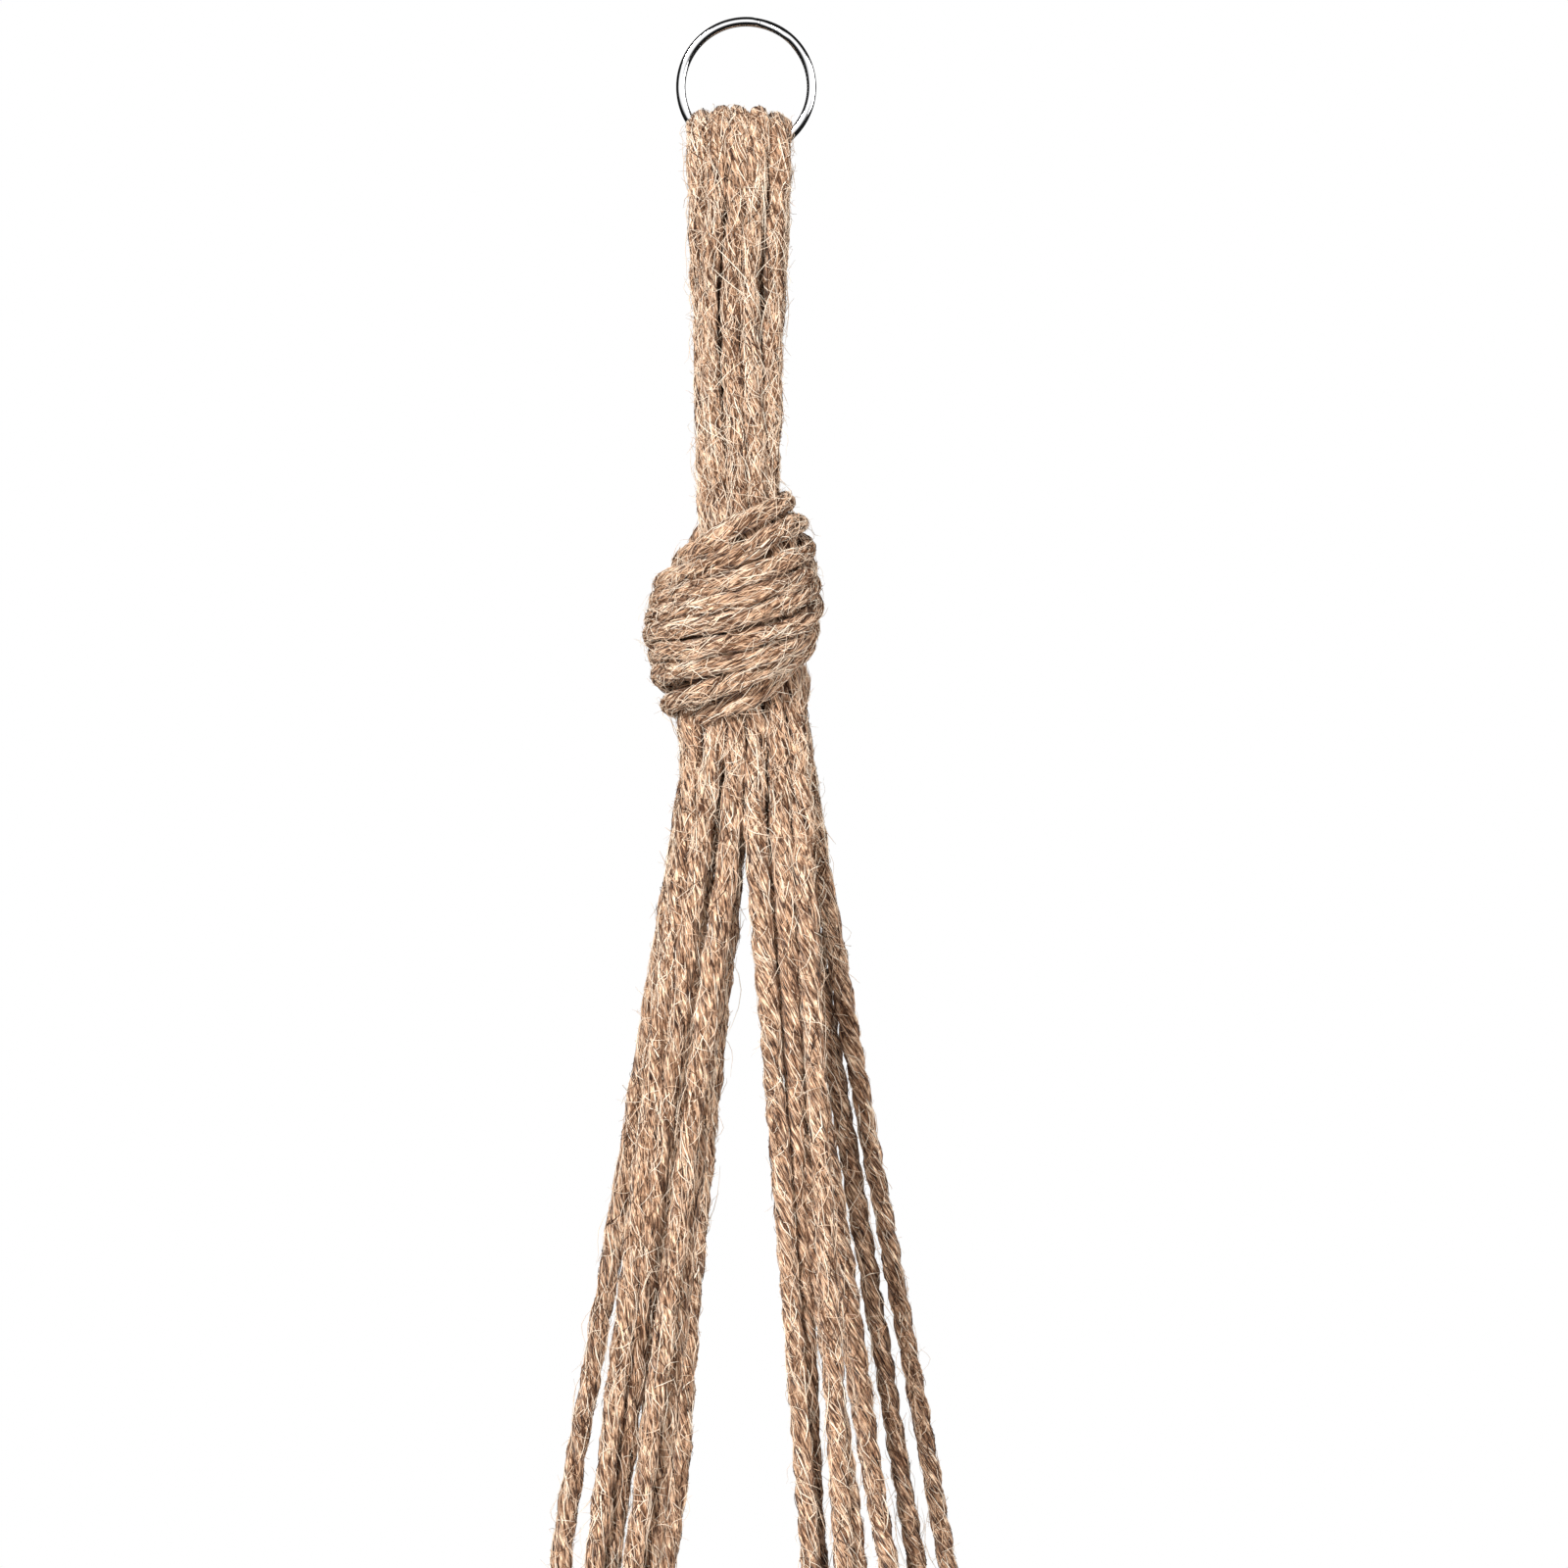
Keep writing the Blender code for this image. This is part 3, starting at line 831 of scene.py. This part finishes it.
def fibre_piece(name, spans, count, exposure, material):
    """Stray fibres that start on these spans of cord, in open air. Closed, three-sided, tapering."""
    weights = np.array([stop - start for _, start, stop in spans], float)
    picks = random.choice(len(spans), count * 3, p=weights / weights.sum())
    shares = [kind[0] for kind in FIBRE_KINDS.values()]
    kinds = random.choice(list(FIBRE_KINDS), len(picks), p=shares)
    bends = len(FIBRE_TAPER)
    u = np.linspace(0, 1, bends)
    curves, radii, tints = [], [], []
    for pick, kind in zip(picks, kinds):
        draw = random.random(8)
        curve = fibre_curve(spans[pick], draw, kind, u, exposure)
        if curve is None:
            continue
        curves.append(curve)
        *_, radius, darkest = FIBRE_KINDS[kind]
        radii.append(radius * (0.7 + 0.6 * draw[2]))
        tints.append(darkest + (1 - darkest) * draw[7])
        if len(curves) == count:
            break
    centre = np.stack(curves)
    tangent = unit(np.gradient(centre, axis=1) + 1e-9)
    normal = unit(np.cross(tangent, np.array((0.3, 0.9, 0.32))))
    binormal = np.cross(tangent, normal)
    taper = (np.array(radii)[:, None] * FIBRE_TAPER)[:, :, None]
    corners = []
    for k in range(3):
        a = 2 * math.pi * k / 3
        corners.append(centre + (math.cos(a) * normal + math.sin(a) * binormal) * taper)
    verts = np.stack(corners, axis=2).reshape(-1, 3)
    firsts = (np.arange(len(curves)) * bends * 3)[:, None]
    quads = tube_quads(bends, 3, 0)[None] + firsts[:, :, None]
    base_cap, tip_cap = np.array([2, 1, 0]), (bends - 1) * 3 + np.array([0, 1, 2])
    caps = np.vstack([cap + firsts for cap in (base_cap, tip_cap)])
    tint = np.repeat(np.array(tints), bends * 3)
    return make_mesh(name, verts, quads.reshape(-1, 4), caps, material, {"tint": tint})


# --- Materials ----------------------------------------------------------------------------------


def new_material(name):
    material = bpy.data.materials.new(name)
    material.use_nodes = True
    return material, material.node_tree, material.node_tree.nodes["Principled BSDF"]


def node(tree, kind, **settings):
    made = tree.nodes.new(kind)
    for key, value in settings.items():
        if key.startswith("in_"):
            made.inputs[int(key[3:])].default_value = value
        else:
            setattr(made, key, value)
    return made


def ramp(tree, source, stops):
    made = tree.nodes.new("ShaderNodeValToRGB")
    elements = made.color_ramp.elements
    while len(elements) < len(stops):
        elements.new(0.5)
    for element, (place, colour) in zip(elements, stops):
        element.position = place
        element.color = colour
    tree.links.new(source, made.inputs["Fac"])
    return made.outputs["Color"]


def grey(value):
    return (value, value, value, 1)


def streaks(tree, scale, stretch, detail, source):
    """Noise drawn out along the fibres."""
    scaled = node(tree, "ShaderNodeVectorMath", operation="MULTIPLY")
    scaled.inputs[1].default_value = (scale, scale, scale * stretch)
    tree.links.new(source, scaled.inputs[0])
    noise = node(tree, "ShaderNodeTexNoise", noise_dimensions="3D")
    noise.inputs["Scale"].default_value = 1.0
    noise.inputs["Detail"].default_value = detail
    noise.inputs["Roughness"].default_value = 0.6
    tree.links.new(scaled.outputs[0], noise.inputs["Vector"])
    return noise.outputs["Fac"]


def mixed(tree, mode, factor, a, b):
    made = tree.nodes.new("ShaderNodeMix")
    made.data_type = "RGBA"
    made.blend_type = mode
    for value, socket in ((factor, made.inputs[0]), (a, made.inputs[6]), (b, made.inputs[7])):
        if isinstance(value, bpy.types.NodeSocket):
            tree.links.new(value, socket)
        else:
            socket.default_value = value
    return made.outputs[2]


def jute_material():
    material, tree, shader = new_material("jute_cord")
    fibre = node(tree, "ShaderNodeAttribute", attribute_name="fibre").outputs["Vector"]
    cleft_shade = node(tree, "ShaderNodeAttribute", attribute_name="cleft_shade").outputs["Fac"]
    coarse = streaks(tree, 2.0, 0.16, 3.0, fibre)
    fine = streaks(tree, 3.4, 0.12, 2.0, fibre)
    broad = streaks(tree, 0.25, 0.3, 2.0, fibre)
    # Fibre colour along the streaks, partly the jute's own tan and partly painted light: the darkest
    # stops of this ramp and of the thread ramp are painted shade between fibre bunches, and the
    # brightest (the thread's above 1) are painted highlights on the fibres
    tan_and_painted_light = ramp(tree, coarse, (
        (0.37, (0.07, 0.024, 0.008, 1)),
        (0.45, (0.33, 0.185, 0.105, 1)),
        (0.54, (0.57, 0.350, 0.220, 1)),
        (0.64, (0.98, 0.75, 0.53, 1)),
    ))
    thread_and_painted_light = ramp(tree, fine, (
        (0.36, (0.10, 0.06, 0.045, 1)), (0.46, (0.70, 0.66, 0.64, 1)), (0.55, grey(1.05)),
        (0.66, grey(1.7)),
    ))
    colour = mixed(tree, "MULTIPLY", 1.0, tan_and_painted_light, thread_and_painted_light)
    shade = ramp(tree, broad, ((0.3, (0.93, 0.90, 0.87, 1)), (0.7, (1.06, 1.05, 1.04, 1))))
    colour = mixed(tree, "MULTIPLY", 1.0, colour, shade)
    # Painted shade: the colour is darkened where the surface lies deep in a cleft between plies
    dark = ramp(tree, cleft_shade, (
        (0.25, grey(1.0)), (0.62, (0.66, 0.56, 0.48, 1)), (0.95, (0.22, 0.13, 0.08, 1)),
    ))
    colour = mixed(tree, "MULTIPLY", 1.0, colour, dark)
    tree.links.new(colour, shader.inputs["Base Color"])
    shader.inputs["Roughness"].default_value = 0.82
    shader.inputs["Specular IOR Level"].default_value = 0.25
    shader.inputs["Sheen Weight"].default_value = 0.15
    shader.inputs["Sheen Roughness"].default_value = 0.5
    height = node(tree, "ShaderNodeMath", operation="ADD")
    tree.links.new(coarse, height.inputs[0])
    tree.links.new(fine, height.inputs[1])
    bump = node(tree, "ShaderNodeBump")
    bump.inputs["Strength"].default_value = 0.9
    bump.inputs["Distance"].default_value = 0.8 * MM
    tree.links.new(height.outputs[0], bump.inputs["Height"])
    tree.links.new(bump.outputs[0], shader.inputs["Normal"])
    return material


def fibre_material():
    material, tree, shader = new_material("jute_fibre")
    tint = node(tree, "ShaderNodeAttribute", attribute_name="tint").outputs["Fac"]
    colour = ramp(tree, tint, (
        (0.0, (0.035, 0.010, 0.003, 1)), (0.36, (0.20, 0.09, 0.04, 1)),
        (0.44, (0.66, 0.41, 0.25, 1)), (1.0, (1.0, 0.88, 0.72, 1)),
    ))
    tree.links.new(colour, shader.inputs["Base Color"])
    shader.inputs["Roughness"].default_value = 0.6
    shader.inputs["Specular IOR Level"].default_value = 0.3
    return material


def chrome_material():
    material, tree, shader = new_material("chrome")
    place = node(tree, "ShaderNodeTexCoord").outputs["Object"]
    noise = node(tree, "ShaderNodeTexNoise")
    noise.inputs["Scale"].default_value = 900.0
    tree.links.new(place, noise.inputs["Vector"])
    rough = node(tree, "ShaderNodeMapRange", in_3=0.04, in_4=0.13)
    tree.links.new(noise.outputs["Fac"], rough.inputs[0])
    tree.links.new(rough.outputs[0], shader.inputs["Roughness"])
    shader.inputs["Base Color"].default_value = (0.86, 0.86, 0.87, 1)
    shader.inputs["Metallic"].default_value = 1.0
    return material


# --- The ring -----------------------------------------------------------------------------------


def make_ring(material):
    """Two flat turns of wire, side by side, that cross from one to the other in a short step."""
    radius = (RING_OUTER_D - WIRE_RADIAL) / 2
    rings, sides = 420, 28
    turned = np.linspace(0, 4 * math.pi - 2 * RING_STEP_HALF, rings)
    angle = RING_STEP_ANGLE + RING_STEP_HALF + turned
    rise = np.clip((turned - 2 * math.pi + 2 * RING_STEP_HALF) / (2 * RING_STEP_HALF), 0, 1)
    y = (WIRE_AXIAL + TURN_GAP) * (rise * rise * (3 - 2 * rise) - 0.5)
    out = np.stack([np.cos(angle), 0 * angle, np.sin(angle)], axis=1)
    centre = out * radius + np.stack([0 * y, y, 0 * y + RING_CENTRE_Z], axis=1)
    around = np.linspace(0, 2 * math.pi, sides, endpoint=False)
    wide = WIRE_RADIAL / 2 * np.cos(around)
    deep = WIRE_AXIAL / 2 * np.sin(around)
    # the wire's ends are ground to a slope
    close = np.minimum(np.arange(rings), np.arange(rings)[::-1])
    end = np.clip(0.72 + 0.07 * close, None, 1.0)[:, None, None]
    section = out[:, None, :] * wide[None, :, None] + np.array((0, 1, 0)) * deep[None, :, None]
    points = centre[:, None, :] + section * end
    quads = tube_quads(rings, sides, 0)[:, ::-1]
    ring = np.arange(sides)
    caps = np.array([ring, (rings - 1) * sides + ring[::-1]])
    return make_mesh("split_ring_wire", points.reshape(-1, 3), quads, caps, material, {})


# --- Stage --------------------------------------------------------------------------------------


def make_camera():
    data = bpy.data.cameras.new("camera")
    data.sensor_width = SENSOR
    data.lens = SENSOR * VIEW_DISTANCE / VIEW_WIDTH
    data.clip_end = 100
    camera = bpy.data.objects.new("camera", data)
    camera.location = Vector(VIEW_CENTRE) + Vector((0, -VIEW_DISTANCE, 0))
    camera.rotation_euler = (math.radians(90), 0, 0)
    bpy.context.scene.collection.objects.link(camera)
    bpy.context.scene.camera = camera


def make_area_light(name, place, target, size, power):
    data = bpy.data.lights.new(name, "AREA")
    data.size = size
    data.energy = power
    light = bpy.data.objects.new(name, data)
    light.location = place
    aim = Vector(target) - Vector(place)
    light.rotation_euler = aim.to_track_quat("-Z", "Y").to_euler()
    bpy.context.scene.collection.objects.link(light)


def make_world():
    """A white backdrop, soft light all round, and a studio's dark floor and back for the chrome."""
    world = bpy.data.worlds.new("studio")
    bpy.context.scene.world = world
    world.use_nodes = True
    tree = world.node_tree
    tree.nodes.clear()
    direction = node(tree, "ShaderNodeTexCoord").outputs["Generated"]
    split = node(tree, "ShaderNodeSeparateXYZ")
    tree.links.new(direction, split.inputs[0])
    up = node(tree, "ShaderNodeMapRange", in_1=-0.16, in_2=0.02)
    back = node(tree, "ShaderNodeMapRange", in_1=-0.88, in_2=-0.76, in_3=1.0, in_4=0.0)
    tree.links.new(split.outputs[2], up.inputs[0])
    tree.links.new(split.outputs[1], back.inputs[0])
    lit = node(tree, "ShaderNodeMath", operation="MULTIPLY")
    tree.links.new(up.outputs[0], lit.inputs[0])
    tree.links.new(back.outputs[0], lit.inputs[1])
    studio = ramp(tree, lit.outputs[0], ((0.0, grey(0.01)), (1.0, grey(1.2))))
    paths = node(tree, "ShaderNodeLightPath")
    soft = mixed(tree, "MIX", paths.outputs["Is Camera Ray"], grey(0.4), grey(1.0))
    colour = mixed(tree, "MIX", paths.outputs["Is Glossy Ray"], soft, studio)
    background = node(tree, "ShaderNodeBackground")
    output = node(tree, "ShaderNodeOutputWorld")
    tree.links.new(colour, background.inputs["Color"])
    tree.links.new(background.outputs[0], output.inputs[0])


def make_floor():
    bpy.ops.mesh.primitive_circle_add(
        vertices=96, radius=2.4, fill_type="NGON", location=(0, 0, CAD_BOX[0].z - 0.03)
    )
    floor = bpy.context.object
    floor.name = "floor"
    material, _, shader = new_material("floor")
    shader.inputs["Base Color"].default_value = grey(0.82)
    shader.inputs["Roughness"].default_value = 0.9
    floor.data.materials.append(material)
    floor.visible_glossy = False  # the chrome mirrors the studio's dark side instead


# --- Assembly -----------------------------------------------------------------------------------


def make_lines(strands):
    """Eight centre lines, each from one end in the tassel over the ring to the other end."""
    lines = []
    for number in range(len(strands) // 2):
        front, front_names = strands[2 * number].centre_line()
        back, back_names = strands[2 * number + 1].centre_line()
        points = np.vstack([front[::-1], back[1:]])
        names = np.concatenate([front_names[::-1], back_names[1:]])
        lines.append(Line(points, names, number))
    return lines


def spans_of(lines, *stretches):
    """Where these lines run through the stretches with these names."""
    found = []
    for line in lines:
        for start, stop in runs(np.isin(line.names, stretches)):
            found.append((line, max(start - 1, 0), stop))
    return found


def scatter(name, spans, per_metre, exposure, material):
    """Stray fibres on these spans, in as many pieces as keep each one light."""
    metres = sum(stop - start for _, start, stop in spans) * RING_STEP * MM
    count = int(metres * per_metre)
    pieces = math.ceil(count / MOST_FIBRES)
    return [
        fibre_piece(f"{name}_{number}", spans, count // pieces, exposure, material)
        for number in range(1, pieces + 1)
    ]


def finish_piece(obj, body, nodes=()):
    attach(obj, body)
    if nodes:
        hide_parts(*nodes)


def make_band(lines, jute, fibre, exposure):
    spans = spans_of(lines, "band")
    cords = cord_mesh("band_cords", spans, jute)
    strays = scatter("band_fibres", spans, FIBRES_PER_METRE["band"], exposure, fibre)
    for piece in (cords, *strays):
        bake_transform(piece)
    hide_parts(*(f"cord_{n}_fold" for n in range(1, 9)))


def hanger_regions():
    """The hanger's pieces: (name, stretches, the nodes it stands for, stray fibres per metre)."""
    yield "top_knot", ["top_knot"], ["top_knot"], FIBRES_PER_METRE["top_knot"]
    for leg in LEG_AZIMUTH:
        name = f"leg_{leg}"
        knot = f"{name}_knot"
        nodes = [f"{name}_strand_{n}" for n in (1, 2, 3, 4)]
        per_metre = FIBRES_PER_METRE["leg"] + MORE_ON_FLUFFED_LEGS * FLUFFED[name]
        yield name, [name], nodes, per_metre
        yield knot, [knot], [knot], FIBRES_PER_METRE["leg_knot"]
    for number, (leg, following, middle) in enumerate(neighbours(), 1):
        name = f"net_{leg}_to_{following}"
        knot = f"{name}_knot"
        nodes = [f"{name}_pair_1", f"{name}_pair_2", knot, f"cradle_bundle_{number}"]
        yield name, [name, knot, cradle_name(middle)], nodes, FIBRES_PER_METRE["net"]
    yield "gather_knot", ["gather_knot"], ["gather_knot"], FIBRES_PER_METRE["net"]


def make_hanger(lines, jute, fibre, exposure):
    for name, stretches, nodes, per_metre in hanger_regions():
        spans = spans_of(lines, *stretches)
        finish_piece(cord_mesh(f"{name}_cords", spans, jute), "hanger", nodes)
        for strays in scatter(f"{name}_fibres", spans, per_metre, exposure, fibre):
            finish_piece(strays, "hanger")


def make_cord_end(span, letter, material):
    """One cord's end in the tassel, from the gather knot down."""
    line, start, stop = span
    number = line.number + 1
    end = cord_mesh(f"cord_{number}_end_{letter}", [span], material)
    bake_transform(end)
    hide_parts(f"cord_{number}_ends")
    path = line.points[start : stop + 1] * MM
    if path[0][2] < path[-1][2]:
        path = path[::-1]


def tip(span):
    """The last rings of a cord's end, where it frays."""
    line, start, stop = span
    if line.points[start, 2] < line.points[stop, 2]:
        return line, start, min(start + FRAY, stop)
    return line, max(stop - FRAY, start), stop


def make_tassel(lines, jute, fibre, exposure):
    spans = spans_of(lines, "tassel")
    for number, span in enumerate(spans):
        make_cord_end(span, "ab"[number % 2], jute)
    for strays in scatter("tassel_fibres", spans, FIBRES_PER_METRE["tassel"], exposure, fibre):
        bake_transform(strays)
    tips = [tip(span) for span in spans]
    for frays in scatter("tassel_frays", tips, FIBRES_PER_METRE["tassel_tips"], exposure, fibre):
        finish_piece(frays, "tassel")


def main():
    make_camera()
    bpy.context.scene.view_settings.view_transform = "Standard"
    lines = make_lines(make_strands())
    exposure = Exposure(lines)
    jute, fibre, chrome = jute_material(), fibre_material(), chrome_material()
    make_tassel(lines, jute, fibre, exposure)
    make_band(lines, jute, fibre, exposure)
    make_hanger(lines, jute, fibre, exposure)
    finish_piece(make_ring(chrome), "ring", ["split_ring"])
    make_world()
    make_area_light("key", (-1.1, -1.9, 1.0), (0, 0, -0.2), 0.6, 80)
    make_area_light("fill", (1.6, -1.4, 0.1), (0, 0, -0.3), 1.2, 24)
    make_floor()


main()
